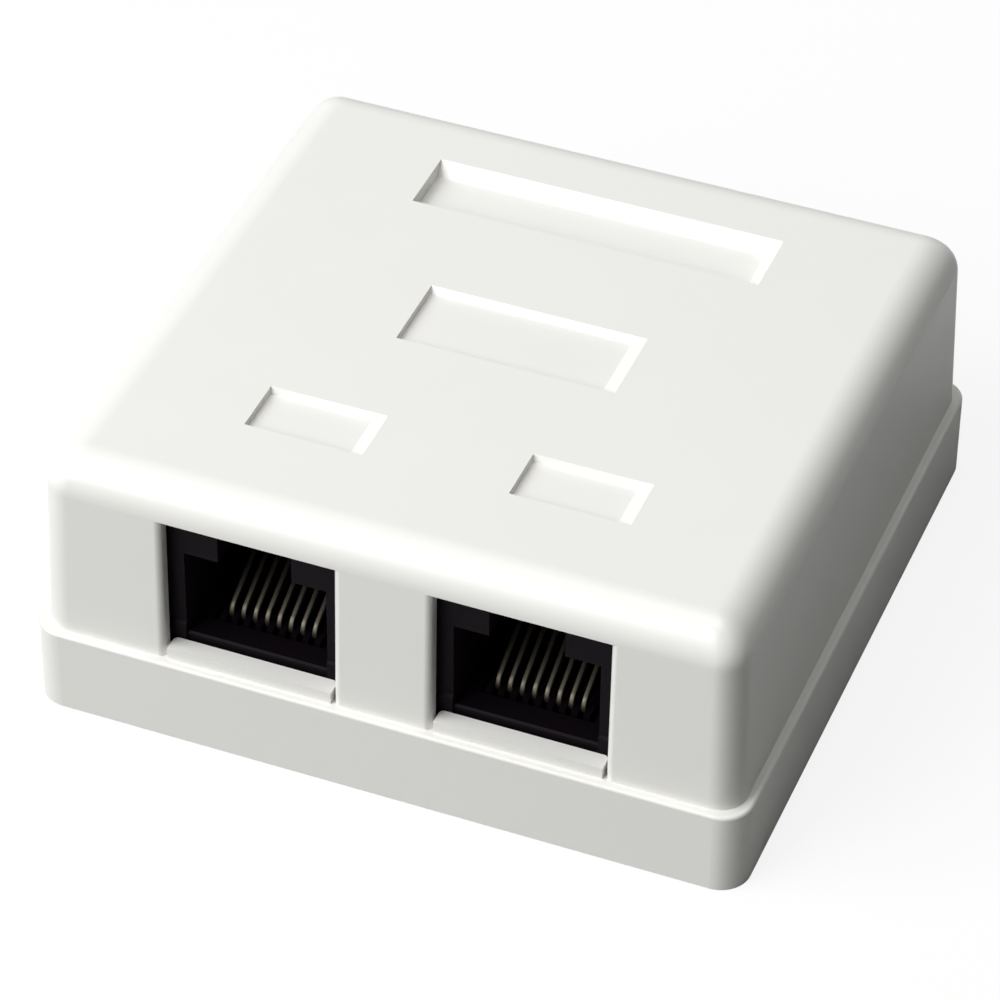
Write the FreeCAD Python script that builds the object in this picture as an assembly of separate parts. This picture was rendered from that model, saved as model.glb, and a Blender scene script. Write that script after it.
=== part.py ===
import FreeCAD, Part
import math
import os

# Two-port surface mount jack box, in millimetres. The origin is the centre of the footprint on the
# wall face of the base, +Z points away from the wall, and the two plug sockets open towards -Y.

V = FreeCAD.Vector
UP = V(0, 0, 1)

# Circuit board and what stands on it
floor_thickness = 2.0
standoff_height = 4.4
board_thickness = 1.6
board_side_margin = 0.52
board_rear_margin = 3.0
board_corner_r = 1.0
port_spacing = 22.56

# Plug sockets
jack_width = 15.6
jack_height = 13.1
jack_roof = 1.3
jack_depth = 18.0
plug_width = 12.0
plug_floor = 1.35
plug_height = 8.05
plug_depth = 14.0
latch_width = 6.2
latch_height = 2.6
latch_lug_depth = 2.2
latch_room_width = 9.2
foot_height = 2.15
foot_proud = 0.2
socket_lip_chamfer = 0.15
peg_r = 1.55
peg_spacing = 11.44
peg_setback = 8.9
peg_length = 2.3

# Spring contacts and the carrier that holds them
contact_count = 8
contact_pitch = 1.016
contact_width = 0.4
contact_thickness = 0.3
contact_front = 3.2
contact_bend_r = 0.9
contact_bend_steps = 5
contact_rise_deg = 26.5
contact_reach = 14.9
contact_tail_setback = 13.0
contact_row_step = 2.54
tail_below_board = 1.4
carrier_plate = 0.45
carrier_rib_width = 0.5
carrier_rib_top = 1.5
carrier_half_width = 4.75
carrier_fit = 0.06

# Insulation displacement blocks and their clips
idc_count = 4
idc_pitch = 3.9
idc_end_wall = 0.4
idc_width = 5.0
idc_height = 11.2
idc_tower_chamfer = 0.8
idc_row_gap = 4.5
idc_from_jack = 4.7
wire_slot_width = 1.1
wire_slot_depth = 6.0
clip_width = 2.4
clip_thickness = 0.4
clip_below_top = 1.6
clip_fork_gap = 0.3
clip_fork_depth = 5.4
clip_tail_width = 0.7
clip_fit = 0.08

# Board fixing
screw_r = 1.2
screw_head_r = 2.25
screw_head_height = 1.5
screw_length = 6.6
screw_rear_setback = 4.0
boss_r = 2.7
post_half = 2.2
post_web = 1.2
hole_clearance = 0.1
screw_bore_clearance = 0.05
tail_hole_r = 0.48
clip_hole_r = 0.55

# Casing
side_bay = 7.43
wiring_bay = 12.08
jack_face_gap = 0.5
lip_wall = 1.0
lip_height = 3.0
lip_clearance = 0.12
lip_slit = 0.8
cover_wall = 1.1
cover_top_thickness = 2.0
cover_slope = 0.028
core_slope = 0.02
cover_inset = 0.75
cover_corner_r = 2.3
cover_top_r = 3.2
core_edge_r = 1.0
headroom = 1.3
shoulder_drop = 0.4
shoulder_edge_r = 0.3
ledge_thickness = 2.0
band_wall = 2.0
band_corner_r = 2.5
port_opening_width = 14.4
port_edge_r = 0.6
lintel_above_jack = 0.08
sill_gap = 0.22
sill_rise = 1.05
sill_corner_r = 0.4
sill_fit = 0.05
catch_spacing = 28.0
catch_width = 7.0
catch_height = 5.0
catch_nose = 0.6
catch_nose_height = 1.6
catch_pocket_depth = 0.5
hold_down_width = 1.0
hold_down_length = 12.0
hold_down_spacing = 8.0
hold_down_gap = 0.1
cable_notch_width = 9.0
cable_notch_height = 6.5
cable_hole_length = 16.0
cable_hole_width = 8.0
cable_hole_from_lip = 1.0
wall_hole_r = 2.0
tie_anchor_offset = 15.0
tie_anchor_width = 6.0
tie_anchor_depth = 3.2
tie_anchor_height = 3.4
tie_slot_height = 1.6

# Label recesses in the top: half length, front and rear edge behind the front of the base, depth,
# run of the bevel at the rear and at the right end
label_shift = 0.33
label_spacing = 22.1
label_long_half = 15.1
label_long_front = 42.9
label_long_rear = 49.2
label_long_depth = 1.2
label_long_rear_run = 1.0
label_mid_half = 9.3
label_mid_front = 25.5
label_mid_rear = 32.9
label_mid_depth = 0.6
label_mid_rear_run = 0.45
label_small_half = 4.98
label_small_front = 11.0
label_small_rear = 16.15
label_small_depth = 0.6
label_small_rear_run = 0.3
label_right_run = 1.25
label_steep_run = 0.03
label_corner_r = 0.6

# Heights worked out from the stack on the board
board_bottom = floor_thickness + standoff_height
board_top = board_bottom + board_thickness
jack_top = board_top + jack_height
ceiling = jack_top + headroom
cover_top = ceiling + cover_top_thickness
shoulder = board_top - shoulder_drop
lintel = jack_top + lintel_above_jack
ledge_bottom = shoulder - ledge_thickness
carrier_top = jack_top - jack_roof

# Widths worked out from the board outwards
port_x = port_spacing / 2
board_half = port_x + jack_width / 2 + board_side_margin
lip_inner_x = board_half + side_bay
lip_outer_x = lip_inner_x + lip_wall
core_half_x = lip_outer_x + lip_clearance
cover_half_x = core_half_x + cover_wall
base_half_x = cover_half_x + cover_inset

# Depths worked out from the front of the sockets backwards
wall_stack = cover_inset + cover_wall
board_run = (jack_depth + idc_from_jack + 2 * idc_width + idc_row_gap + board_rear_margin)
base_depth = 2 * wall_stack + jack_face_gap + board_run + wiring_bay + lip_wall + lip_clearance
base_half_y = base_depth / 2
cover_half_y = base_half_y - cover_inset
core_half_y = cover_half_y - cover_wall
lip_outer_y = core_half_y - lip_clearance
lip_inner_y = lip_outer_y - lip_wall
jack_face = -core_half_y + jack_face_gap
jack_rear = jack_face + jack_depth
board_front = -lip_inner_y + lip_clearance
board_rear = jack_face + board_run
idc_row_y = [
    jack_rear + idc_from_jack + idc_width / 2,
    jack_rear + idc_from_jack + idc_width * 1.5 + idc_row_gap,
]
idc_length = idc_count * idc_pitch + 2 * idc_end_wall
contact_run_z = board_top + carrier_plate + contact_thickness / 2 + 0.05
post_places = [
    (board_half - post_half, jack_rear + idc_from_jack / 2),
    (board_half - post_half, board_rear - post_half),
    (board_half - post_half, board_front + post_half),
]
screw_places = [(0, jack_face + peg_setback), (0, board_rear - screw_rear_setback)]
wall_hole_x = (board_half + lip_inner_x) / 2
cable_hole_y = lip_inner_y - cable_hole_from_lip - cable_hole_width / 2

# Long enough to cut right through whatever a tool meets
through = 4 * cover_top


def box(x0, x1, y0, y1, z0, z1):
    """Box between three pairs of limits."""
    return Part.makeBox(x1 - x0, y1 - y0, z1 - z0, V(x0, y0, z0))


def cylinder(x, y, radius, z0, z1):
    """Upright cylinder."""
    return Part.makeCylinder(radius, z1 - z0, V(x, y, z0), UP)


def six_sided(x, y, radius, z0, z1):
    """Upright six-sided prism around a circle."""
    across = radius / math.cos(math.pi / 6)
    angles = [turn * math.pi / 3 for turn in range(6)]
    ring = [V(x + across * math.cos(angle), y + across * math.sin(angle), z0) for angle in angles]
    return Part.Face(Part.makePolygon(ring + ring[:1])).extrude(V(0, 0, z1 - z0))


def prism_x(points, x0, x1):
    """Prism along X over an outline of (y, z) points."""
    ring = [V(x0, y, z) for y, z in points]
    return Part.Face(Part.makePolygon(ring + ring[:1])).extrude(V(x1 - x0, 0, 0))


def prism_y(points, y0, y1):
    """Prism along Y over an outline of (x, z) points."""
    ring = [V(x, y0, z) for x, z in points]
    return Part.Face(Part.makePolygon(ring + ring[:1])).extrude(V(0, y1 - y0, 0))


def rectangle(half_x, half_y, z):
    """Corners of a rectangle about the Z axis."""
    return [V(-half_x, -half_y, z), V(half_x, -half_y, z), V(half_x, half_y, z), V(-half_x, half_y, z)]


def solid_between(low, high):
    """Flat-sided solid between a lower and an upper ring of corners."""
    rings = [low[::-1], high]
    for index, corner in enumerate(low):
        after = (index + 1) % len(low)
        rings.append([corner, low[after], high[after], high[index]])
    faces = [Part.Face(Part.makePolygon(ring + ring[:1])) for ring in rings]
    return Part.makeSolid(Part.makeShell(faces))


def filleted(solid, choices):
    """Round several groups of edges in one go: choices is a list of (test, radius)."""
    document = FreeCAD.newDocument()
    source = document.addObject("Part::Feature")
    source.Shape = solid
    feature = document.addObject("Part::Fillet")
    feature.Base = source
    edges = []
    for number, edge in enumerate(solid.Edges, 1):
        for test, radius in choices:
            if test(edge):
                edges.append((number, radius, radius))
                break
    feature.Edges = edges
    document.recompute()
    result = feature.Shape.copy()
    FreeCAD.closeDocument(document.Name)
    return result.Solids[0]


def is_upright(edge):
    """True for an edge that climbs, drafted or not."""
    heights = [vertex.Z for vertex in edge.Vertexes]
    return len(heights) == 2 and abs(heights[0] - heights[1]) > 1.0


def lies_at(z):
    """Test for the edges that lie at one height."""
    return lambda edge: all(abs(vertex.Z - z) < 0.001 for vertex in edge.Vertexes)


def rounded_block(half_x, half_y, z0, z1, corner_r):
    """Straight block with four upright corners rounded."""
    block = box(-half_x, half_x, -half_y, half_y, z0, z1)
    return block.makeFillet(corner_r, [edge for edge in block.Edges if is_upright(edge)])


def moulded_block(half_x, half_y, z0, z1, slope, corner_r, top_r):
    """Drafted block with rounded upright corners and a rounded top rim."""
    lean = slope * (z1 - z0)
    block = solid_between(rectangle(half_x, half_y, z0), rectangle(half_x - lean, half_y - lean, z1))
    return filleted(block, [(lies_at(z1), top_r), (is_upright, corner_r)])


def path_side(points, offset):
    """Corners of a path in the YZ plane, shifted to its left by offset and mitred at each turn."""
    ways = []
    for (y0, z0), (y1, z1) in zip(points, points[1:]):
        length = math.hypot(y1 - y0, z1 - z0)
        ways.append(((y1 - y0) / length, (z1 - z0) / length))
    corners = []
    for (y, z), before, after in zip(points, ways[:1] + ways, ways + ways[-1:]):
        lean = offset / (1 + before[0] * after[0] + before[1] * after[1])
        corners.append((y - (before[1] + after[1]) * lean, z + (before[0] + after[0]) * lean))
    return corners


def bent_strip(points, thickness, x0, x1):
    """Flat strip that follows a path in the YZ plane and is as wide as x0 to x1."""
    left = path_side(points, thickness / 2)
    right = path_side(points, -thickness / 2)
    return prism_x(left + right[::-1], x0, x1)


def contact_places():
    """X offsets of the contacts from the middle of their socket."""
    return [(index - (contact_count - 1) / 2) * contact_pitch for index in range(contact_count)]


def contact_tail_y(index):
    """The tails stand in two staggered rows."""
    return jack_face + contact_tail_setback + (index % 2) * contact_row_step


def clip_places():
    """X offsets of the clips from the middle of their block."""
    return [(index - (idc_count - 1) / 2) * idc_pitch for index in range(idc_count)]


def make_contact(x, index):
    """Spring contact: tail, run under the socket floor, front bend in short flats and rising free arm."""
    rise = math.radians(contact_rise_deg)
    centre_y = jack_face + contact_front + contact_bend_r + contact_thickness / 2
    centre_z = contact_run_z + contact_bend_r
    tail_y = contact_tail_y(index)
    path = [(tail_y, board_bottom - tail_below_board), (tail_y, contact_run_z)]
    for step in range(contact_bend_steps + 1):
        angle = -math.pi / 2 - (math.pi - rise) * step / contact_bend_steps
        path.append((centre_y + contact_bend_r * math.cos(angle),
                     centre_z + contact_bend_r * math.sin(angle)))
    bend_y, bend_z = path[-1]
    tip_y = jack_face + contact_reach
    path.append((tip_y, bend_z + (tip_y - bend_y) * math.tan(rise)))
    return bent_strip(path, contact_thickness, x - contact_width / 2, x + contact_width / 2)


def make_carrier(x):
    """Insert that closes the back of a socket and combs its contacts."""
    plate_z = board_top + carrier_fit
    plate_top = board_top + carrier_plate
    front = jack_face + contact_front - contact_thickness * 2
    rear = jack_rear
    block_front = jack_face + plug_depth + carrier_fit
    block_half = plug_width / 2 - carrier_fit
    run_top = contact_run_z + contact_thickness / 2 + carrier_fit
    block_top = carrier_top
    carrier = box(x - carrier_half_width, x + carrier_half_width, front, rear, plate_z, plate_top)
    for index in range(contact_count + 1):
        rib_x = x + (index - contact_count / 2) * contact_pitch
        half = carrier_rib_width / 2
        carrier = carrier.fuse(box(rib_x - half, rib_x + half, front, rear, plate_z,
                                   board_top + carrier_rib_top))
    carrier = carrier.fuse(box(x - block_half, x + block_half, block_front, rear, run_top, block_top))
    rise = math.tan(math.radians(contact_rise_deg))
    tip_top = contact_run_z + (contact_reach + contact_thickness) * rise + 2 * contact_thickness
    comb_half = contact_places()[-1] + contact_width / 2 + carrier_fit
    tips = box(x - comb_half, x + comb_half, block_front - 1,
               jack_face + contact_reach + 2 * contact_thickness,
               run_top + contact_thickness, tip_top + contact_thickness)
    carrier = carrier.cut(tips)
    for row in range(2):
        tail_y = contact_tail_y(row)
        tail_half = contact_thickness / 2 + carrier_fit
        tails = box(x - comb_half, x + comb_half, tail_y - tail_half, tail_y + tail_half,
                    plate_z - 1, plate_top)
        carrier = carrier.cut(tails)
    return carrier.removeSplitter()


def make_jack(x):
    """Socket housing: plug cavity with latch keyway, lugs behind which the latch catches, and pegs."""
    half = jack_width / 2
    plug_half = plug_width / 2
    floor_z = board_top + plug_floor
    shelf = floor_z + plug_height
    face = jack_face + foot_proud
    rear = jack_rear
    body = box(x - half, x + half, jack_face, rear, board_top, jack_top)
    foot_top = board_top + foot_height
    relief = [(jack_face - 1, foot_top), (jack_face, foot_top), (face, foot_top + foot_proud),
              (face, jack_top + 1), (jack_face - 1, jack_top + 1)]
    body = body.cut(prism_x(relief, x - half - 1, x + half + 1))
    plug_room = box(x - plug_half, x + plug_half, jack_face - 1, jack_face + plug_depth, floor_z, shelf)
    keyway_top = shelf + latch_height
    keyway = box(x - latch_width / 2, x + latch_width / 2, jack_face - 1, jack_face + plug_depth,
                 shelf - 1, keyway_top)
    room_half = latch_room_width / 2
    latch_room = box(x - room_half, x + room_half, face + latch_lug_depth, jack_face + plug_depth,
                     shelf - 1, keyway_top - foot_proud)
    back_room = box(x - plug_half, x + plug_half, jack_face + plug_depth - 1, rear + 1,
                    board_top - 1, carrier_top + carrier_fit)
    tunnel_half = carrier_half_width + carrier_fit
    tunnel = box(x - tunnel_half, x + tunnel_half, jack_face + contact_front - 3 * contact_thickness,
                 rear + 1, board_top - 1, floor_z + 1)
    lip = socket_lip_chamfer
    mouth = [(jack_face - 1, board_top - 1), (face, board_top - 1), (face, floor_z - lip),
             (face + lip, floor_z), (face + lip, floor_z + 1), (jack_face - 1, floor_z + 1)]
    mouth = prism_x(mouth, x - plug_half, x + plug_half)
    for tool in (plug_room, keyway, latch_room, back_room, tunnel, mouth):
        body = body.cut(tool)
    for side in (-1, 1):
        peg_x = x + side * peg_spacing / 2
        peg_y = jack_face + peg_setback
        body = body.fuse(cylinder(peg_x, peg_y, peg_r, board_top - peg_length, board_top))
    rear_rim = [edge for edge in body.Edges if is_rear_top(edge)]
    return body.makeChamfer(foot_proud, rear_rim).removeSplitter()


def is_rear_top(edge):
    """True for the long top edge at the back of a socket housing."""
    return edge.Length > jack_width / 2 and all(
        abs(vertex.Z - jack_top) < 0.001 and abs(vertex.Y - jack_rear) < 0.001 for vertex in edge.Vertexes)


def make_idc_block(x, y):
    """Row of wire towers: a slot across each wire position and a pocket below for its clip."""
    half_x = idc_length / 2
    half_y = idc_width / 2
    top = board_top + idc_height
    cham = idc_tower_chamfer
    outline = [(y - half_y, board_top), (y + half_y, board_top), (y + half_y, top - 2 * cham),
               (y + half_y - cham, top), (y - half_y + cham, top), (y - half_y, top - 2 * cham)]
    block = prism_x(outline, x - half_x, x + half_x)
    pocket_half_x = clip_width / 2 + clip_fit
    pocket_half_y = clip_thickness / 2 + clip_fit
    for offset in clip_places():
        slot_x = x + offset
        slot = wire_slot_width / 2
        floor_z = top - wire_slot_depth
        flare = [(slot_x - slot, floor_z), (slot_x + slot, floor_z), (slot_x + slot, top - cham),
                 (slot_x + slot + cham / 2, top + 1), (slot_x - slot - cham / 2, top + 1),
                 (slot_x - slot, top - cham)]
        block = block.cut(prism_y(flare, y - half_y - 1, y + half_y + 1))
        block = block.cut(box(slot_x - pocket_half_x, slot_x + pocket_half_x, y - pocket_half_y,
                              y + pocket_half_y, board_top - 1, top - clip_below_top + clip_fit))
    return block.removeSplitter()


def make_clip(x, y):
    """Forked sheet metal clip with a tail through the board."""
    half = clip_width / 2
    gap = clip_fork_gap / 2
    tail = clip_tail_width / 2
    top = board_top + idc_height - clip_below_top
    crotch = top - clip_fork_depth
    seat = board_top + clip_fit
    outline = [(x - tail, board_bottom - tail_below_board), (x + tail, board_bottom - tail_below_board),
               (x + tail, seat), (x + half, seat), (x + half, top), (x + gap + clip_fork_gap, top),
               (x + gap, top - 2 * clip_fork_gap), (x + gap, crotch), (x - gap, crotch),
               (x - gap, top - 2 * clip_fork_gap), (x - gap - clip_fork_gap, top), (x - half, top),
               (x - half, seat), (x - tail, seat)]
    return prism_y(outline, y - clip_thickness / 2, y + clip_thickness / 2)


def make_board():
    """Circuit board with holes for pegs, tails and screws."""
    board = box(-board_half, board_half, board_front, board_rear, board_bottom, board_top)
    board = board.makeFillet(board_corner_r, [edge for edge in board.Edges if is_upright(edge)])
    holes = []
    small_holes = []
    for side in (-1, 1):
        socket_x = side * port_x
        for peg in (-1, 1):
            peg_x = socket_x + peg * peg_spacing / 2
            holes.append((peg_x, jack_face + peg_setback, peg_r + hole_clearance / 2))
        for index, offset in enumerate(contact_places()):
            small_holes.append((socket_x + offset, contact_tail_y(index), tail_hole_r))
        for row_y in idc_row_y:
            for offset in clip_places():
                small_holes.append((socket_x + offset, row_y, clip_hole_r))
    for place_x, place_y in screw_places:
        holes.append((place_x, place_y, screw_r + hole_clearance))
    tools = [cylinder(x, y, radius, board_bottom - 1, board_top + 1) for x, y, radius in holes]
    tools += [six_sided(x, y, radius, board_bottom - 1, board_top + 1) for x, y, radius in small_holes]
    return board.cut(tools)


def make_screws():
    """The two self-tapping screws that hold the board, as one group."""
    screws = []
    for x, y in screw_places:
        shank = cylinder(x, y, screw_r, board_top - screw_length, board_top)
        head = cylinder(x, y, screw_head_r, board_top, board_top + screw_head_height)
        screw = head.fuse(shank)
        arm = screw_head_r * 0.62
        blade = screw_r / 4
        bottom = board_top + screw_head_height * 0.4
        top = board_top + screw_head_height + 1
        screw = screw.cut(box(x - arm, x + arm, y - blade, y + blade, bottom, top))
        screw = screw.cut(box(x - blade, x + blade, y - arm, y + arm, bottom, top))
        screws.append(screw.removeSplitter())
    return Part.makeCompound(screws)


def make_base():
    """Base tray: floor, outer band with shoulder, lip, catches, sills, posts, bosses and tie anchors."""
    tray = rounded_block(base_half_x, base_half_y, 0, shoulder, band_corner_r)
    rim = [edge for edge in tray.Edges if lies_at(shoulder)(edge)]
    tray = tray.makeFillet(shoulder_edge_r, rim)
    inner_r = band_corner_r - band_wall + 0.5
    tray = tray.cut(rounded_block(base_half_x - band_wall, base_half_y - band_wall, floor_thickness,
                                  ledge_bottom, inner_r))
    lip_r = core_edge_r - lip_clearance
    lip = rounded_block(lip_outer_x, lip_outer_y, ledge_bottom, shoulder + lip_height, lip_r)
    tray = tray.fuse(lip)
    tray = tray.cut(rounded_block(lip_inner_x, lip_inner_y, ledge_bottom - 1, through, lip_r / 2))

    # The lip stops at the sockets, at the cable notch and beside each catch
    gaps = []
    for side in (-1, 1):
        reach = jack_width / 2 + lip_slit / 2
        gaps.append(box(side * port_x - reach, side * port_x + reach, -lip_outer_y - 1, -lip_inner_y + 1,
                        shoulder, through))
        for end in (-1, 1):
            middle = end * catch_spacing / 2
            reach = catch_width / 2 + lip_slit
            gaps.append(box(min(side * (lip_inner_x - 1), side * (lip_outer_x + lip_clearance / 2)),
                            max(side * (lip_inner_x - 1), side * (lip_outer_x + lip_clearance / 2)),
                            middle - reach, middle + reach, shoulder, through))
    notch_half = cable_notch_width / 2 + lip_slit
    gaps.append(box(-notch_half, notch_half, lip_inner_y - 1, lip_outer_y + 1, shoulder, through))
    tray = tray.cut(gaps)

    # Catches for the cover: an upright tongue with a wedge nose at its tip
    tip = shoulder + catch_height
    for side in (-1, 1):
        for end in (-1, 1):
            middle = end * catch_spacing / 2
            back = lip_inner_x
            front = lip_outer_x - catch_nose
            profile = [(side * back, ledge_bottom), (side * front, ledge_bottom),
                       (side * front, tip - 2 * catch_nose_height),
                       (side * lip_outer_x, tip - catch_nose_height),
                       (side * front, tip), (side * back, tip)]
            tray = tray.fuse(prism_y(profile, middle - catch_width / 2, middle + catch_width / 2))

    # Sills: flat ledges that close the bottom of the two port openings and reach in to the sockets
    sill_top = shoulder + sill_rise
    sill_rear = jack_face - sill_fit
    for side in (-1, 1):
        half = port_opening_width / 2 - sill_gap
        sill = box(side * port_x - half, side * port_x + half, -cover_half_y, sill_rear,
                   shoulder - 1, sill_top)
        corners = [edge for edge in sill.Edges if is_upright(edge)
                   and all(abs(vertex.Y - sill_rear) < 0.001 for vertex in edge.Vertexes)]
        tray = tray.fuse(sill.makeFillet(sill_corner_r, corners))

    # Cross-ribbed posts and screw bosses under the board
    for side in (-1, 1):
        for place_x, place_y in post_places:
            for reach_x, reach_y in ((post_half, post_web / 2), (post_web / 2, post_half)):
                tray = tray.fuse(box(side * place_x - reach_x, side * place_x + reach_x, place_y - reach_y,
                                     place_y + reach_y, floor_thickness - 1, board_bottom))
    for place_x, place_y in screw_places:
        boss = cylinder(place_x, place_y, boss_r, floor_thickness - 1, board_bottom)
        bore = cylinder(place_x, place_y, screw_r + screw_bore_clearance, board_top - screw_length - 0.4,
                        through)
        tray = tray.fuse(boss).cut(bore)

    # Cable-tie anchors in the wiring bay
    for side in (-1, 1):
        middle = side * tie_anchor_offset
        half = tie_anchor_width / 2
        y0 = cable_hole_y - tie_anchor_depth / 2
        y1 = cable_hole_y + tie_anchor_depth / 2
        top = floor_thickness + tie_anchor_height
        anchor = box(middle - half, middle + half, y0, y1, floor_thickness - 1, top)
        slot = box(middle - half / 2, middle + half / 2, y0 - 1, y1 + 1, floor_thickness,
                   floor_thickness + tie_slot_height)
        tray = tray.fuse(anchor.cut(slot))

    # Cable entry from the wall and the two wall screw holes
    half = cable_hole_length / 2 - cable_hole_width / 2
    entry = box(-half, half, cable_hole_y - cable_hole_width / 2, cable_hole_y + cable_hole_width / 2,
                -1, floor_thickness + 1)
    for end in (-1, 1):
        entry = entry.fuse(cylinder(end * half, cable_hole_y, cable_hole_width / 2, -1, floor_thickness + 1))
    tray = tray.cut(entry)
    for side in (-1, 1):
        tray = tray.cut(cylinder(side * wall_hole_x, 0, wall_hole_r, -1, floor_thickness + 1))
    return tray.removeSplitter()


def label_recess(x0, x1, front, rear, depth, rear_run, right_run):
    """Cutter for a label recess: steep left and front walls, bevelled rear and right walls."""
    steep = label_steep_run
    top = cover_top
    above = 1.0
    climb = (depth + above) / depth
    y0 = front - base_half_y
    y1 = rear - base_half_y
    floor_z = top - depth
    low = [V(x0 + steep, y0 + steep, floor_z), V(x1 - right_run, y0 + steep, floor_z),
           V(x1 - right_run, y1 - rear_run, floor_z), V(x0 + steep, y1 - rear_run, floor_z)]
    high = []
    for point, (rim_x, rim_y) in zip(low, [(x0, y0), (x1, y0), (x1, y1), (x0, y1)]):
        high.append(V(point.x + (rim_x - point.x) * climb, point.y + (rim_y - point.y) * climb, top + above))
    cutter = solid_between(low, high)
    corner = [edge for edge in cutter.Edges if is_between(edge, low[2], high[2])]
    return cutter.makeFillet(label_corner_r / 4, label_corner_r, corner)


def is_between(edge, first, second):
    """True for the straight edge that joins two points."""
    ends = [vertex.Point for vertex in edge.Vertexes]
    return all(min(end.distanceToPoint(first), end.distanceToPoint(second)) < 0.001 for end in ends)


def make_cover():
    """Cover: moulded shell with two ports, four label recesses, catch pockets and hold-down ribs."""
    shell = moulded_block(cover_half_x, cover_half_y, shoulder, cover_top, cover_slope, cover_corner_r,
                          cover_top_r)
    core = moulded_block(core_half_x, core_half_y, shoulder, ceiling, core_slope, core_edge_r, core_edge_r)
    shell = shell.cut(core)

    # Port openings, open at the bottom, with their upright outer edges eased
    for side in (-1, 1):
        half = port_opening_width / 2
        middle = side * port_x
        port = box(middle - half, middle + half, -cover_half_y - 1, -core_half_y + 2, shoulder - 1, lintel)
        shell = shell.cut(port)
    shell = shell.makeFillet(port_edge_r, [edge for edge in shell.Edges if is_port_jamb(edge)])

    # Notch in the rear wall for a cable that comes along the wall
    half = cable_notch_width / 2
    arch_z = shoulder + cable_notch_height - half
    notch = box(-half, half, core_half_y - 2, cover_half_y + 1, shoulder - 1, max(arch_z, shoulder))
    arch = Part.makeCylinder(half, cover_wall + 3, V(0, core_half_y - 2, arch_z), V(0, 1, 0))
    shell = shell.cut(notch.fuse(arch))

    # Pockets that the catches snap into
    tip = shoulder + catch_height
    for side in (-1, 1):
        for end in (-1, 1):
            middle = end * catch_spacing / 2
            reach = catch_width / 2 + lip_slit / 2
            x0, x1 = sorted((side * (core_half_x - 1), side * (core_half_x + catch_pocket_depth)))
            shell = shell.cut(box(x0, x1, middle - reach, middle + reach, tip - 2 * catch_nose_height,
                                  tip + lip_slit / 2))

    # Ribs under the top that hold the sockets down on the board
    for side in (-1, 1):
        for end in (-1, 1):
            middle = side * port_x + end * hold_down_spacing / 2
            front = jack_face + foot_proud + jack_face_gap
            shell = shell.fuse(box(middle - hold_down_width / 2, middle + hold_down_width / 2, front,
                                   front + hold_down_length, jack_top + hold_down_gap, ceiling + 0.5))

    # Label recesses
    recesses = [
        label_recess(label_shift - label_long_half, label_shift + label_long_half, label_long_front,
                     label_long_rear, label_long_depth, label_long_rear_run, label_right_run),
        label_recess(label_shift - label_mid_half, label_shift + label_mid_half, label_mid_front,
                     label_mid_rear, label_mid_depth, label_mid_rear_run, label_right_run),
    ]
    for side in (-1, 1):
        middle = label_shift + side * label_spacing / 2
        recesses.append(label_recess(middle - label_small_half, middle + label_small_half, label_small_front,
                                     label_small_rear, label_small_depth, label_small_rear_run,
                                     label_right_run))
    for recess in recesses:
        shell = shell.cut(recess)
    return shell.removeSplitter()


def is_port_jamb(edge):
    """True for an upright outer edge of a port opening."""
    half = port_opening_width / 2
    jambs = [side * port_x + turn * half for side in (-1, 1) for turn in (-1, 1)]
    ends = [vertex.Point for vertex in edge.Vertexes]
    outer = all(end.y < -cover_half_y + cover_wall / 2 for end in ends)
    at_jamb = all(min(abs(end.x - jamb) for jamb in jambs) < 0.001 for end in ends)
    return is_upright(edge) and outer and at_jamb


def save(name, shape):
    """Write one sub-part."""
    shape.exportStep("parts/" + name + ".step")


os.makedirs("parts", exist_ok=True)
save("base", make_base())
save("cover", make_cover())
save("circuit_board", make_board())
save("board_screws", make_screws())
for side_name, side in (("left", -1), ("right", 1)):
    socket_x = side * port_x
    save(side_name + "_jack_housing", make_jack(socket_x))
    save(side_name + "_contact_carrier", make_carrier(socket_x))
    for index, offset in enumerate(contact_places()):
        save(side_name + "_spring_contact_" + str(index + 1), make_contact(socket_x + offset, index))
    for row_name, row_y in zip(("front", "rear"), idc_row_y):
        save(side_name + "_" + row_name + "_terminal_block", make_idc_block(socket_x, row_y))
        for index, offset in enumerate(clip_places()):
            clip = make_clip(socket_x + offset, row_y)
            save(side_name + "_" + row_name + "_wire_clip_" + str(index + 1), clip)
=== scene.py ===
import math

import bpy
import numpy as np
from mathutils import Matrix, Vector


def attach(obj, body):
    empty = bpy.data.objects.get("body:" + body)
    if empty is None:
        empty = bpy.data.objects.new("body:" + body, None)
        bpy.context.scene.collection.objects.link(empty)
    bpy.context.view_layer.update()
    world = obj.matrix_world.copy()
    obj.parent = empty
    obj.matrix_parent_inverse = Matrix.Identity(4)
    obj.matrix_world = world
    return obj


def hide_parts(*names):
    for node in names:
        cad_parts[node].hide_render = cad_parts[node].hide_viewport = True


# Two-port surface mount jack box: a white box of two mouldings round a circuit board with two black plug
# sockets and four wire terminal blocks. Lengths are in metres, +Z is away from the wall, plugs enter from -Y.
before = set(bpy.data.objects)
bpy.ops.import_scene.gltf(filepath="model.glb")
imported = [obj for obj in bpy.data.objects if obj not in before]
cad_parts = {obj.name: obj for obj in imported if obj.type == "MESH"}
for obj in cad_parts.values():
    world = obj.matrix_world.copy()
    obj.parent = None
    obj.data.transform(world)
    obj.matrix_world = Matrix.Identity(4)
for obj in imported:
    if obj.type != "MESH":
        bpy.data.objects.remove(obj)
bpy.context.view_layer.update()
scene = bpy.context.scene
scene.view_settings.view_transform = "Standard"


# ---------------------------------------------------------------- camera
# A long lens from the front right and well above, turned very slightly about its own axis.
MM = 0.001
camera_azimuth = math.radians(21.30)
camera_elevation = math.radians(40.13)
camera_roll = math.radians(0.56)
camera_distance = 380.4 * MM
camera_lens = 167.2
camera_target = Vector((-1.265, 0.0, 7.39)) * MM

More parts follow.
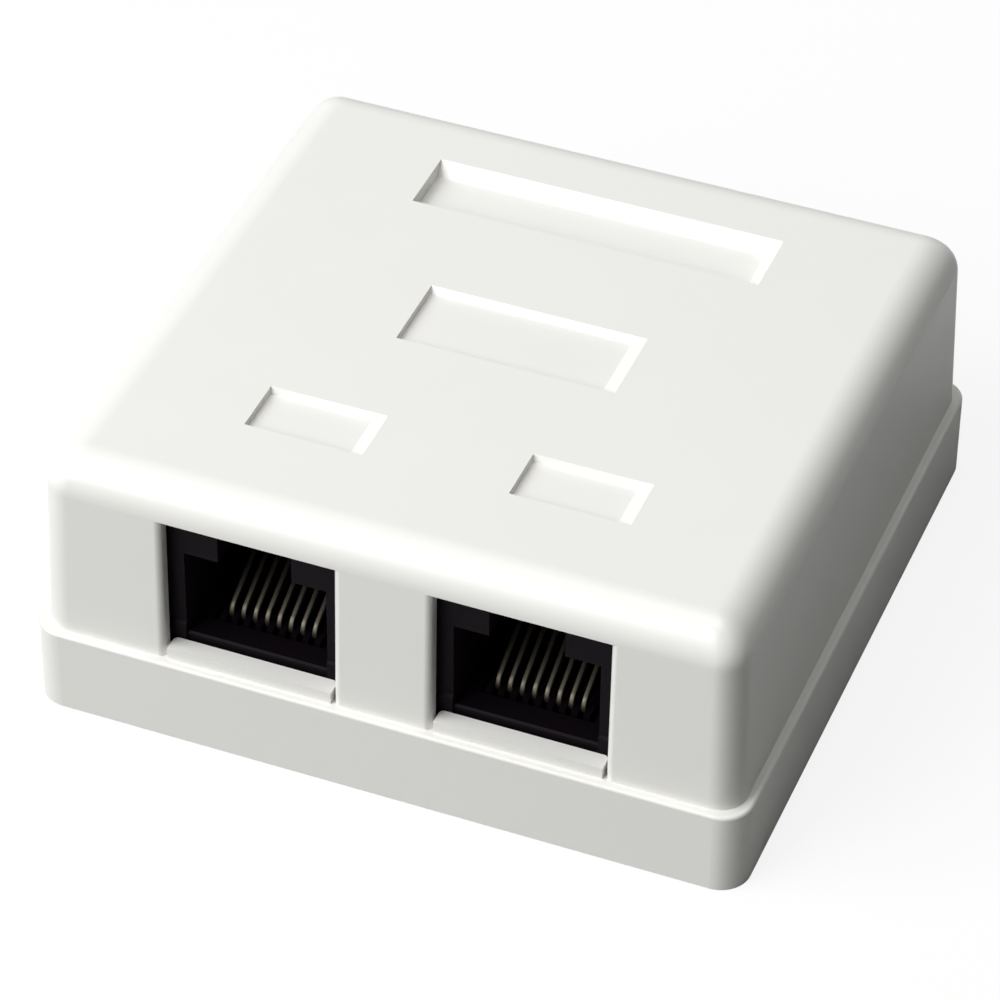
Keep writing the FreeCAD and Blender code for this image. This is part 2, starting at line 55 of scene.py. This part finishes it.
back = Vector((
    math.sin(camera_azimuth) * math.cos(camera_elevation),
    -math.cos(camera_azimuth) * math.cos(camera_elevation),
    math.sin(camera_elevation),
))
level = Vector((math.cos(camera_azimuth), math.sin(camera_azimuth), 0.0))
upright = back.cross(level)
right = level * math.cos(camera_roll) + upright * math.sin(camera_roll)
above = upright * math.cos(camera_roll) - level * math.sin(camera_roll)
camera_data = bpy.data.cameras.new("camera")
camera_data.lens = camera_lens
camera_data.sensor_width = 36.0
camera_data.clip_start = 0.02
camera_data.clip_end = 20.0
camera = bpy.data.objects.new("camera", camera_data)
scene.collection.objects.link(camera)
turn = Matrix((right, above, back)).transposed()
camera.matrix_world = Matrix.Translation(camera_target + back * camera_distance) @ turn.to_4x4()
scene.camera = camera


# ---------------------------------------------------------------- floor and light
# A white sweep of paper under the box, lit by three softboxes in a dim room. Seen straight on the paper has a
# faint shadow, mirrored it has its full one, and it throws little light back up into the box's shaded end.
floor_half = 3.0
floor_z = -0.02 * MM
pure_white = (1.0, 1.0, 1.0, 1.0)
floor_paper = (0.22, 0.22, 0.21, 1.0)
shadow_share = 0.14
mirrored_shadow_share = 1.0
room_tint = (0.92, 1.0, 0.84, 1.0)
room_strength = 0.02
lamp_aim = Vector((0.0, 0.0, 0.012))


def maths(nodes, links, operation, *values):
    """Output of a Math node on values, each a number or another node's output."""
    node = nodes.new("ShaderNodeMath")
    node.operation = operation
    for socket, value in zip(node.inputs, values):
        if isinstance(value, (int, float)):
            socket.default_value = value
        else:
            links.new(value, socket)
    return node.outputs[0]


def ray_that_sees_white(nodes, links):
    """Output that is 1 for the rays that show the background: straight, mirrored or through glass."""
    path = nodes.new("ShaderNodeLightPath")
    either = maths(nodes, links, "MAXIMUM", path.outputs["Is Camera Ray"], path.outputs["Is Glossy Ray"])
    return maths(nodes, links, "MAXIMUM", either, path.outputs["Is Transmission Ray"])


floor_mesh = bpy.data.meshes.new("floor")
floor_mesh.from_pydata(
    [(-floor_half, -floor_half, floor_z), (floor_half, -floor_half, floor_z),
     (floor_half, floor_half, floor_z), (-floor_half, floor_half, floor_z)], [], [(0, 1, 2, 3)])
floor = bpy.data.objects.new("floor", floor_mesh)
scene.collection.objects.link(floor)
paper = bpy.data.materials.new("white paper")
paper.use_nodes = True
nodes, links = paper.node_tree.nodes, paper.node_tree.links
nodes.clear()
out = nodes.new("ShaderNodeOutputMaterial")
dull = nodes.new("ShaderNodeBsdfDiffuse")
dull.inputs["Color"].default_value = floor_paper
seen = nodes.new("ShaderNodeBsdfDiffuse")
seen.inputs["Color"].default_value = pure_white
glow = nodes.new("ShaderNodeEmission")
glow.inputs["Color"].default_value = pure_white
glow.inputs["Strength"].default_value = 1.0
shade = nodes.new("ShaderNodeMixShader")
share = nodes.new("ShaderNodeMapRange")
share.inputs["To Min"].default_value = shadow_share
share.inputs["To Max"].default_value = mirrored_shadow_share
path = nodes.new("ShaderNodeLightPath")
links.new(path.outputs["Is Glossy Ray"], share.inputs["Value"])
links.new(share.outputs[0], shade.inputs[0])
pick = nodes.new("ShaderNodeMixShader")
links.new(glow.outputs[0], shade.inputs[1])
links.new(seen.outputs[0], shade.inputs[2])
links.new(ray_that_sees_white(nodes, links), pick.inputs[0])
links.new(dull.outputs[0], pick.inputs[1])
links.new(shade.outputs[0], pick.inputs[2])
links.new(pick.outputs[0], out.inputs["Surface"])
floor_mesh.materials.append(paper)

world = bpy.data.worlds.new("studio")
scene.world = world
world.use_nodes = True
nodes, links = world.node_tree.nodes, world.node_tree.links
nodes.clear()
out = nodes.new("ShaderNodeOutputWorld")
room = nodes.new("ShaderNodeBackground")
room.inputs["Color"].default_value = room_tint
room.inputs["Strength"].default_value = room_strength
white = nodes.new("ShaderNodeBackground")
white.inputs["Color"].default_value = pure_white
white.inputs["Strength"].default_value = 1.0
pick = nodes.new("ShaderNodeMixShader")
links.new(ray_that_sees_white(nodes, links), pick.inputs[0])
links.new(room.outputs[0], pick.inputs[1])
links.new(white.outputs[0], pick.inputs[2])
links.new(pick.outputs[0], out.inputs["Surface"])


def softbox(name, place, size, watts):
    """A square area lamp at place that faces the middle of the box."""
    data = bpy.data.lights.new(name, "AREA")
    data.shape = "SQUARE"
    data.size = size
    data.energy = watts
    lamp = bpy.data.objects.new(name, data)
    scene.collection.objects.link(lamp)
    lamp.location = place
    lamp.rotation_mode = "QUATERNION"
    lamp.rotation_quaternion = (lamp_aim - place).to_track_quat("-Z", "Y")


softbox("front left softbox", Vector((-0.52, -0.53, 0.67)).normalized(), size=0.9, watts=13.2)
softbox("overhead softbox", Vector((0.0, 0.10, 0.99)).normalized(), size=0.4, watts=2.4)
softbox("rear softbox", Vector((0.16, 0.42, 0.16)), size=0.3, watts=0.12)


# ---------------------------------------------------------------- cover and base
# Two mouldings in warm white ABS with a satin skin, straight from a polished and lightly etched mould. The
# base is fixed to the wall, and the cover clips over its lip.
gloss_spread = 0.15
wave_size = 6.0 * MM


def moulded_grain():
    """Node group: height, tone and gloss of a moulded surface, from noise on Object coordinates."""
    group = bpy.data.node_groups.new("moulded grain", "ShaderNodeTree")
    face = group.interface
    for label in ("Grain Size", "Grain Depth", "Wave Size", "Wave Depth", "Unevenness"):
        face.new_socket(name=label, in_out="INPUT", socket_type="NodeSocketFloat")
    for label in ("Height", "Tone", "Gloss"):
        face.new_socket(name=label, in_out="OUTPUT", socket_type="NodeSocketFloat")
    nodes, links = group.nodes, group.links
    given = nodes.new("NodeGroupInput")
    given_out = nodes.new("NodeGroupOutput")
    where = nodes.new("ShaderNodeTexCoord")

    def noise(size_socket, detail):
        """Noise with one lump per size given."""
        tex = nodes.new("ShaderNodeTexNoise")
        tex.inputs["Detail"].default_value = detail
        links.new(where.outputs["Object"], tex.inputs["Vector"])
        links.new(maths(nodes, links, "DIVIDE", 1.0, given.outputs[size_socket]), tex.inputs["Scale"])
        return tex.outputs["Fac"]

    def spread_about(middle, value):
        """Noise value of 0 to 1, spread about a middle by the unevenness given."""
        shift = maths(nodes, links, "SUBTRACT", value, 0.5)
        return maths(nodes, links, "MULTIPLY_ADD", shift, given.outputs["Unevenness"], middle)

    grain = noise("Grain Size", 2.0)
    wave = noise("Wave Size", 1.0)
    grain_height = maths(nodes, links, "MULTIPLY", grain, given.outputs["Grain Depth"])
    wave_height = maths(nodes, links, "MULTIPLY", wave, given.outputs["Wave Depth"])
    links.new(maths(nodes, links, "ADD", grain_height, wave_height), given_out.inputs["Height"])
    links.new(spread_about(1.0, wave), given_out.inputs["Tone"])
    links.new(spread_about(0.5, grain), given_out.inputs["Gloss"])
    return group


grain_group = moulded_grain()


def moulded_plastic(name, colour, roughness, grain_size, grain_depth, wave_depth, unevenness, bump, shine):
    """Moulded plastic: a base colour with slight unevenness and the mould's grain in its gloss and bump."""
    finish = bpy.data.materials.new(name)
    finish.use_nodes = True
    nodes, links = finish.node_tree.nodes, finish.node_tree.links
    shader = nodes["Principled BSDF"]
    shader.inputs["IOR"].default_value = 1.53
    shader.inputs["Specular IOR Level"].default_value = shine
    skin = nodes.new("ShaderNodeGroup")
    skin.node_tree = grain_group
    skin.inputs["Grain Size"].default_value = grain_size
    skin.inputs["Grain Depth"].default_value = grain_depth
    skin.inputs["Wave Size"].default_value = wave_size
    skin.inputs["Wave Depth"].default_value = wave_depth
    skin.inputs["Unevenness"].default_value = unevenness
    tint = nodes.new("ShaderNodeMix")
    tint.data_type = "RGBA"
    tint.blend_type = "MULTIPLY"
    tint.inputs[0].default_value = 1.0
    tint.inputs[6].default_value = (*colour, 1.0)
    links.new(skin.outputs["Tone"], tint.inputs[7])
    links.new(tint.outputs[2], shader.inputs["Base Color"])
    gloss = nodes.new("ShaderNodeMapRange")
    gloss.inputs["To Min"].default_value = roughness * (1.0 - gloss_spread)
    gloss.inputs["To Max"].default_value = roughness * (1.0 + gloss_spread)
    links.new(skin.outputs["Gloss"], gloss.inputs["Value"])
    links.new(gloss.outputs[0], shader.inputs["Roughness"])
    relief = nodes.new("ShaderNodeBump")
    relief.inputs["Strength"].default_value = 1.0
    relief.inputs["Distance"].default_value = bump
    links.new(skin.outputs["Height"], relief.inputs["Height"])
    links.new(relief.outputs["Normal"], shader.inputs["Normal"])
    return finish


def finish_node(node, material):
    """Gives a carried-over CAD node its finish."""
    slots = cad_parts[node].data.materials
    slots.clear()
    slots.append(material)


white_abs = moulded_plastic(
    "white ABS", colour=(0.852, 0.847, 0.818), roughness=0.30, grain_size=0.16 * MM, grain_depth=0.25,
    wave_depth=1.0, unevenness=0.015, bump=0.004 * MM, shine=0.4)
finish_node("cover", white_abs)
finish_node("base", white_abs)


# ---------------------------------------------------------------- plug sockets
# Housing and contact carrier of each socket, moulded in dull black PBT and snapped together. The housing's
# pegs sit in the circuit board.
sides = {"left": -1, "right": 1}
black_pbt = moulded_plastic(
    "black PBT", colour=(0.0042, 0.0028, 0.0042), roughness=0.5, grain_size=0.1 * MM, grain_depth=0.4,
    wave_depth=0.6, unevenness=0.05, bump=0.004 * MM, shine=0.05)
for side in sides:
    finish_node(side + "_jack_housing", black_pbt)
    finish_node(side + "_contact_carrier", black_pbt)


# ---------------------------------------------------------------- spring contacts
# Sixteen strips stamped from phosphor bronze and bent: a tail through the board, a run under the socket's
# floor, a tight front bend and a free arm that rises to the comb. The arm is gold flashed, its gold darkened
# far down as painted shade for the dim inside of the socket, and the tail is tinned.
contacts_per_socket = 8
socket_spacing = 22.56 * MM
socket_face_y = -26.45 * MM
contact_pitch = 1.016 * MM
strip_half_width = 0.20 * MM
strip_half_thickness = 0.15 * MM
strip_squareness = 4.0
strip_section_points = 16
bend_points = 16
tail_end_z = 5.0 * MM
run_z = 8.65 * MM
tail_bend_radius = 0.45 * MM
front_bend_radius = 0.9 * MM
front_bend_y = socket_face_y + 4.25 * MM
arm_rise = math.radians(26.5)
arm_end_y = socket_face_y + 14.9 * MM
tail_setback = 13.0 * MM
tail_row_step = 2.54 * MM
tinned_below = 7.6 * MM
# Gold darkened far below real gold: painted shade for the dim light inside the socket.
shade_darkened_gold = (0.108, 0.097, 0.078)
tin = (0.55, 0.55, 0.53)
streaks_per_metre = (16000.0, 900.0, 900.0)


def plated_strip():
    """Node group: colour, gloss and height of metal dipped up to a level, from Object coordinates."""
    group = bpy.data.node_groups.new("plated strip", "ShaderNodeTree")
    face = group.interface
    for label in ("Upper", "Lower"):
        face.new_socket(name=label, in_out="INPUT", socket_type="NodeSocketColor")
    for label in ("Level", "Roughness", "Streaks"):
        face.new_socket(name=label, in_out="INPUT", socket_type="NodeSocketFloat")
    face.new_socket(name="Color", in_out="OUTPUT", socket_type="NodeSocketColor")
    face.new_socket(name="Roughness", in_out="OUTPUT", socket_type="NodeSocketFloat")
    face.new_socket(name="Height", in_out="OUTPUT", socket_type="NodeSocketFloat")
    nodes, links = group.nodes, group.links
    given = nodes.new("NodeGroupInput")
    given_out = nodes.new("NodeGroupOutput")
    where = nodes.new("ShaderNodeTexCoord")
    split = nodes.new("ShaderNodeSeparateXYZ")
    links.new(where.outputs["Object"], split.inputs[0])
    over = maths(nodes, links, "GREATER_THAN", split.outputs["Z"], given.outputs["Level"])
    both = nodes.new("ShaderNodeMix")
    both.data_type = "RGBA"
    links.new(over, both.inputs[0])
    links.new(given.outputs["Lower"], both.inputs[6])
    links.new(given.outputs["Upper"], both.inputs[7])
    links.new(both.outputs[2], given_out.inputs["Color"])
    stretch = nodes.new("ShaderNodeMapping")
    stretch.inputs["Scale"].default_value = streaks_per_metre
    links.new(where.outputs["Object"], stretch.inputs["Vector"])
    streak = nodes.new("ShaderNodeTexNoise")
    streak.inputs["Scale"].default_value = 1.0
    streak.inputs["Detail"].default_value = 2.0
    links.new(stretch.outputs[0], streak.inputs["Vector"])
    spread = maths(nodes, links, "MULTIPLY_ADD", streak.outputs["Fac"], given.outputs["Streaks"],
                   given.outputs["Roughness"])
    links.new(spread, given_out.inputs["Roughness"])
    links.new(streak.outputs["Fac"], given_out.inputs["Height"])
    return group


plating_group = plated_strip()


def plated_metal(name, upper, lower, level, roughness, streaks, bump):
    """Strip metal with one colour above a height and another below it."""
    finish = bpy.data.materials.new(name)
    finish.use_nodes = True
    nodes, links = finish.node_tree.nodes, finish.node_tree.links
    shader = nodes["Principled BSDF"]
    shader.inputs["Metallic"].default_value = 1.0
    skin = nodes.new("ShaderNodeGroup")
    skin.node_tree = plating_group
    skin.inputs["Upper"].default_value = (*upper, 1.0)
    skin.inputs["Lower"].default_value = (*lower, 1.0)
    skin.inputs["Level"].default_value = level
    skin.inputs["Roughness"].default_value = roughness
    skin.inputs["Streaks"].default_value = streaks
    links.new(skin.outputs["Color"], shader.inputs["Base Color"])
    links.new(skin.outputs["Roughness"], shader.inputs["Roughness"])
    relief = nodes.new("ShaderNodeBump")
    relief.inputs["Distance"].default_value = bump
    links.new(skin.outputs["Height"], relief.inputs["Height"])
    links.new(relief.outputs["Normal"], shader.inputs["Normal"])
    return finish


def new_piece(name, points, faces, material, slot, body):
    """Smooth mesh from an array of points and a list of faces, with its finish, riding on its body."""
    mesh = bpy.data.meshes.new(name)
    mesh.from_pydata(points.tolist(), [], faces)
    mesh.shade_smooth()
    mesh.materials.append(material)
    piece = bpy.data.objects.new(name, mesh)
    scene.collection.objects.link(piece)
    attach(piece, body)
    return piece


def bent_line(knots, radii):
    """Line in the YZ plane through knots, each inner knot rounded by an arc that touches both runs.

    An arc of radius r in a knot that turns by t starts r tan(t/2) before the knot, and its points are the
    centre plus r (cos a, sin a), with a running evenly through t. The runs between arcs are straight.
    """
    knots = np.array(knots, float)
    points = [knots[:1]]
    for index, radius in enumerate(radii, 1):
        before = knots[index] - knots[index - 1]
        after = knots[index + 1] - knots[index]
        before /= np.linalg.norm(before)
        after /= np.linalg.norm(after)
        angle = math.atan2(before[0] * after[1] - before[1] * after[0], float(before @ after))
        inward = np.array((-before[1], before[0])) * math.copysign(1.0, angle)
        touch = knots[index] - before * radius * math.tan(abs(angle) / 2)
        centre = touch + inward * radius
        sweep = np.linspace(0.0, angle, bend_points)
        cos, sin = np.cos(sweep), np.sin(sweep)
        spoke = touch - centre
        arc = np.column_stack((spoke[0] * cos - spoke[1] * sin, spoke[0] * sin + spoke[1] * cos))
        points.append(centre + arc)
    points.append(knots[-1:])
    return np.vstack(points)


def tube_faces(rings, around):
    """Faces of a tube of rings, closed at both ends by a fan to the two points that follow the rings' own."""
    ring = np.arange(around)
    after = np.roll(ring, -1)
    rows = np.arange(rings - 1)[:, None] * around
    below = rows + around
    quads = np.stack((rows + ring, below + ring, below + after, rows + after), -1).reshape(-1, 4)
    end = (rings - 1) * around
    caps = np.vstack((
        np.column_stack((np.full_like(ring, rings * around), ring, after)),
        np.column_stack((np.full_like(ring, rings * around + 1), end + after, end + ring)),
    ))
    return quads.tolist() + caps.tolist()


def swept_strip(line, x):
    """Points and faces of a strip carried along a line in the YZ plane.

    The section is a superellipse: half_width |cos a|^(2/n) across and half_thickness |sin a|^(2/n) through,
    with the signs of cos and sin and n the squareness. It is set square to the line's direction at each
    point, and both ends are closed by a fan.
    """
    steps = np.diff(line, axis=0)
    steps /= np.linalg.norm(steps, axis=1)[:, None]
    along = np.vstack((steps[:1], steps[:-1] + steps[1:], steps[-1:]))
    along /= np.linalg.norm(along, axis=1)[:, None]
    out = np.column_stack((-along[:, 1], along[:, 0]))
    angle = np.linspace(0.0, 2 * math.pi, strip_section_points, endpoint=False)
    cos, sin = np.cos(angle), np.sin(angle)
    across = strip_half_width * np.sign(cos) * np.abs(cos) ** (2 / strip_squareness)
    through = strip_half_thickness * np.sign(sin) * np.abs(sin) ** (2 / strip_squareness)
    grid = np.empty((len(line), strip_section_points, 3))
    grid[..., 0] = x + across[None, :]
    grid[..., 1] = line[:, 0:1] + out[:, 0:1] * through[None, :]
    grid[..., 2] = line[:, 1:2] + out[:, 1:2] * through[None, :]
    points = np.vstack((grid.reshape(-1, 3), (x, *line[0]), (x, *line[-1])))
    return points, tube_faces(len(line), strip_section_points)


def place_in_row(side_sign, number, count, pitch):
    """X of a piece in a row of count pieces, at an even pitch about the middle of its socket."""
    return side_sign * socket_spacing / 2 + (number - (count - 1) / 2) * pitch


# The arms take the darkened gold, painted shade for the inside of the socket; below tinned_below they are tin.
contact_metal = plated_metal(
    "shade darkened gold bronze", upper=shade_darkened_gold, lower=tin, level=tinned_below, roughness=0.45, streaks=0.12,
    bump=0.0008 * MM)
corner_y = front_bend_y - front_bend_radius * math.tan((math.pi - arm_rise) / 2)
arm_end_z = run_z + (arm_end_y - corner_y) * math.tan(arm_rise)
for side, side_sign in sides.items():
    for number in range(contacts_per_socket):
        contact_x = place_in_row(side_sign, number, contacts_per_socket, contact_pitch)
        tail_y = socket_face_y + tail_setback + (number % 2) * tail_row_step
        contact_line = bent_line(
            [(tail_y, tail_end_z), (tail_y, run_z), (corner_y, run_z), (arm_end_y, arm_end_z)],
            [tail_bend_radius, front_bend_radius])
        contact_name = side + "_spring_contact_" + str(number + 1)
        contact = new_piece(contact_name + "_strip", *swept_strip(contact_line, contact_x), contact_metal,
                            "contact_gold", "tray")
        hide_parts(contact_name)


# ---------------------------------------------------------------- circuit board
# Glass fibre board, 1.6 mm thick, with green solder mask on both faces and bare, pale fibre at its sawn
# edges. The mask is slightly uneven where it was curtain coated.
board_under = 6.4 * MM
board_over = 8.0 * MM
mask_green = (0.018, 0.150, 0.060, 1.0)
fibre_pale = (0.42, 0.40, 0.18, 1.0)
mask_skin = 0.03 * MM
mask_clouds_per_metre = 300.0
cloud_share = 0.25
fibre_waves_per_metre = 900.0
smoothest_mask = 0.22
dullest_mask = 0.34
weave_height = 0.0015 * MM

board_finish = bpy.data.materials.new("solder mask")
board_finish.use_nodes = True
nodes, links = board_finish.node_tree.nodes, board_finish.node_tree.links
shader = nodes["Principled BSDF"]
shader.inputs["IOR"].default_value = 1.55
where = nodes.new("ShaderNodeTexCoord")
split = nodes.new("ShaderNodeSeparateXYZ")
links.new(where.outputs["Object"], split.inputs[0])
from_middle = maths(nodes, links, "SUBTRACT", split.outputs["Z"], (board_under + board_over) / 2)
away = maths(nodes, links, "ABSOLUTE", from_middle)
masked = maths(nodes, links, "GREATER_THAN", away, (board_over - board_under) / 2 - mask_skin)
cloud = nodes.new("ShaderNodeTexNoise")
cloud.inputs["Scale"].default_value = mask_clouds_per_metre
cloud.inputs["Detail"].default_value = 3.0
links.new(where.outputs["Object"], cloud.inputs["Vector"])
weave = nodes.new("ShaderNodeTexWave")
weave.bands_direction = "DIAGONAL"
weave.inputs["Scale"].default_value = fibre_waves_per_metre
weave.inputs["Distortion"].default_value = 2.0
links.new(where.outputs["Object"], weave.inputs["Vector"])
tint = nodes.new("ShaderNodeMix")
tint.data_type = "RGBA"
tint.inputs[6].default_value = fibre_pale
tint.inputs[7].default_value = mask_green
links.new(masked, tint.inputs[0])
shaded = nodes.new("ShaderNodeMix")
shaded.data_type = "RGBA"
shaded.blend_type = "MULTIPLY"
shaded.inputs[0].default_value = cloud_share
links.new(tint.outputs[2], shaded.inputs[6])
links.new(cloud.outputs["Fac"], shaded.inputs[7])
links.new(shaded.outputs[2], shader.inputs["Base Color"])
gloss = nodes.new("ShaderNodeMapRange")
gloss.inputs["From Min"].default_value = 0.3
gloss.inputs["From Max"].default_value = 0.7
gloss.inputs["To Min"].default_value = smoothest_mask
gloss.inputs["To Max"].default_value = dullest_mask
links.new(cloud.outputs["Fac"], gloss.inputs["Value"])
links.new(gloss.outputs[0], shader.inputs["Roughness"])
relief = nodes.new("ShaderNodeBump")
relief.inputs["Distance"].default_value = weave_height
links.new(weave.outputs["Fac"], relief.inputs["Height"])
links.new(relief.outputs["Normal"], shader.inputs["Normal"])
finish_node("circuit_board", board_finish)


# ---------------------------------------------------------------- board tracks
# Etched copper under the solder mask, one track from each contact to its wire clip, so that each stands a
# little proud of the board and shows a lighter green.
track_half_width = 0.2 * MM
track_height = 0.03 * MM
track_start_y = socket_face_y + 17.0 * MM
front_row_y = -1.25 * MM
rear_row_y = 8.25 * MM
clips_per_block = 4
clip_pitch = 3.9 * MM
row_passage = 3.1 * MM
track_green = moulded_plastic(
    "mask over copper", colour=(0.045, 0.27, 0.10), roughness=0.28, grain_size=0.3 * MM, grain_depth=0.3,
    wave_depth=0.6, unevenness=0.08, bump=0.002 * MM, shine=0.5)


def flat_track(line):
    """Points and faces of a low strip on the board along a line of (x, y) points.

    The strip's edges are the line moved by half the width along the mitre of the two runs that meet at each
    point. It has a flat top and sides that lean out by the copper's height.
    """
    line = np.array(line, float)
    steps = np.diff(line, axis=0)
    steps /= np.linalg.norm(steps, axis=1)[:, None]
    before = np.vstack((steps[:1], steps))
    after = np.vstack((steps, steps[-1:]))
    mitre = np.column_stack((-(before + after)[:, 1], (before + after)[:, 0]))
    mitre /= (1.0 + np.sum(before * after, axis=1))[:, None]
    widths = np.array((-track_half_width - track_height, -track_half_width, track_half_width,
                       track_half_width + track_height))
    heights = np.array((0.0, track_height, track_height, 0.0)) + board_over
    points = np.empty((len(line), 4, 3))
    points[..., :2] = line[:, None, :] + mitre[:, None, :] * widths[None, :, None]
    points[..., 2] = heights[None, :]
    first = np.arange(len(line) - 1)[:, None] * 4 + np.arange(3)[None, :]
    faces = np.stack((first, first + 4, first + 5, first + 1), -1).reshape(-1, 4)
    return points.reshape(-1, 3), faces.tolist()


def joined(parts):
    """Points and faces of several parts as one, each part's faces counted on past the points before it."""
    all_points = []
    all_faces = []
    count = 0
    for points, faces in parts:
        all_points.append(points)
        all_faces += [[corner + count for corner in face] for face in faces]
        count += len(points)
    return np.vstack(all_points), all_faces


bend_y = front_row_y - row_passage
for side, side_sign in sides.items():
    tracks = []
    for number in range(contacts_per_socket):
        from_x = place_in_row(side_sign, number, contacts_per_socket, contact_pitch)
        to_x = place_in_row(side_sign, number // 2, clips_per_block, clip_pitch)
        if number % 2 == 0:
            run = abs(to_x - from_x)
            line = [(from_x, track_start_y), (from_x, bend_y - run), (to_x, bend_y), (to_x, front_row_y)]
        else:
            pass_x = to_x + clip_pitch / 2
            run = abs(pass_x - from_x)
            line = [(from_x, track_start_y), (from_x, bend_y - run), (pass_x, bend_y),
                    (pass_x, front_row_y + row_passage), (to_x, front_row_y + row_passage + clip_pitch / 2),
                    (to_x, rear_row_y)]
        tracks.append(flat_track(line))
    new_piece(side + "_board_tracks", *joined(tracks), track_green, "board_green", "tray")


# ---------------------------------------------------------------- board screws
# Two zinc-plated thread-forming screws with domed pan heads and a cross recess, driven into the bosses of the
# base to hold the circuit board down.
screw_places = ((0.0, socket_face_y + 8.9 * MM), (0.0, 9.75 * MM))
head_radius = 2.25 * MM
head_height = 1.5 * MM
head_edge = 0.55 * MM
shank_radius = 1.2 * MM
shank_length = 6.6 * MM
recess_half_width = 0.32 * MM
recess_reach = 1.35 * MM
recess_depth = 0.95 * MM
recess_softness = 0.05 * MM
recess_taper = 0.55
rim_height = 0.03 * MM
hub_radius = 0.002 * MM
thread_pitch = 0.9 * MM
thread_core = 0.78
thread_swell = 0.22
tip_share = 0.25
tip_steepness = 4.0
points_around = 96
head_rings = 48
shank_rings = 120
zinc = (0.55, 0.56, 0.58)
screw_zinc = plated_metal(
    "zinc plate", upper=zinc, lower=zinc, level=0.0, roughness=0.30, streaks=0.15, bump=0.001 * MM)


def recess_arm(along, across):
    """Smooth mask of one arm of the cross recess: two tanh steps, one at its reach and one at its width."""
    reach = 1 + np.tanh((recess_reach - np.abs(along)) / recess_softness)
    width = 1 + np.tanh((recess_half_width - np.abs(across)) / recess_softness)
    return 0.25 * reach * width


def screw_surface(x, y):
    """Points and faces of a pan-head screw about an upright axis at x, y.

    Rings run from the middle of the head out to its rim, down its side, in to the shank and down to the
    point. The head's top is head_height less head_edge (r / head_radius)^2, and the recess takes depth away
    where either arm's mask is 1. Down the shank the radius swells by a rounded thread, cos(2 pi z / pitch +
    angle).
    """
    angle = np.linspace(0.0, 2 * math.pi, points_around, endpoint=False)[None, :]
    level = np.zeros_like(angle)
    radius = np.linspace(0.0, 1.0, head_rings)[:, None] * head_radius + hub_radius
    px, py = radius * np.cos(angle), radius * np.sin(angle)
    depth = recess_depth * (1.0 - recess_taper * radius / recess_reach).clip(0.0, 1.0)
    cut = np.maximum(recess_arm(px, py), recess_arm(py, px)) * depth
    top_z = board_over + head_height - head_edge * (radius / head_radius) ** 2.0 - cut
    rim_z = board_over + np.array((rim_height, 0.0))[:, None] + level
    rim_r = np.full_like(rim_z, head_radius)
    fall = np.linspace(0.0, 1.0, shank_rings)[:, None]
    shank_z = board_over - fall * shank_length + level
    taper = np.minimum(1.0, (1.0 - fall) * tip_steepness + tip_share)
    ridge = 0.5 + 0.5 * np.cos(2 * math.pi * shank_z / thread_pitch + angle)
    shank_r = shank_radius * taper * (thread_core + thread_swell * ridge)
    all_r = np.vstack((radius + level, rim_r, shank_r))
    all_z = np.vstack((top_z, rim_z, shank_z))
    grid = np.stack((x + all_r * np.cos(angle), y + all_r * np.sin(angle), all_z), -1)
    ends = ((x, y, float(top_z[0].mean())), (x, y, float(shank_z[-1, 0])))
    points = np.vstack((grid.reshape(-1, 3), *ends))
    return points, tube_faces(len(all_r), points_around)


screws = new_piece("board_screws_threaded", *joined([screw_surface(*place) for place in screw_places]),
                   screw_zinc, "screw_steel", "tray")
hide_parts("board_screws")


# ---------------------------------------------------------------- terminal blocks and wire clips
# Four rows of wire towers moulded in off-white PBT, pressed down on the circuit board. Each tower holds a
# forked clip, stamped from tinned bronze, whose tail is soldered through the board.
clip_plate = (0.60, 0.59, 0.56)
tower_white = moulded_plastic(
    "off-white PBT", colour=(0.74, 0.73, 0.67), roughness=0.36, grain_size=0.14 * MM, grain_depth=0.3,
    wave_depth=0.8, unevenness=0.03, bump=0.004 * MM, shine=0.5)
clip_tin = plated_metal(
    "tinned bronze", upper=clip_plate, lower=clip_plate, level=0.0, roughness=0.32, streaks=0.12,
    bump=0.0008 * MM)
for side in sides:
    for row in ("front", "rear"):
        finish_node(side + "_" + row + "_terminal_block", tower_white)
        for number in range(clips_per_block):
            finish_node(side + "_" + row + "_wire_clip_" + str(number + 1), clip_tin)
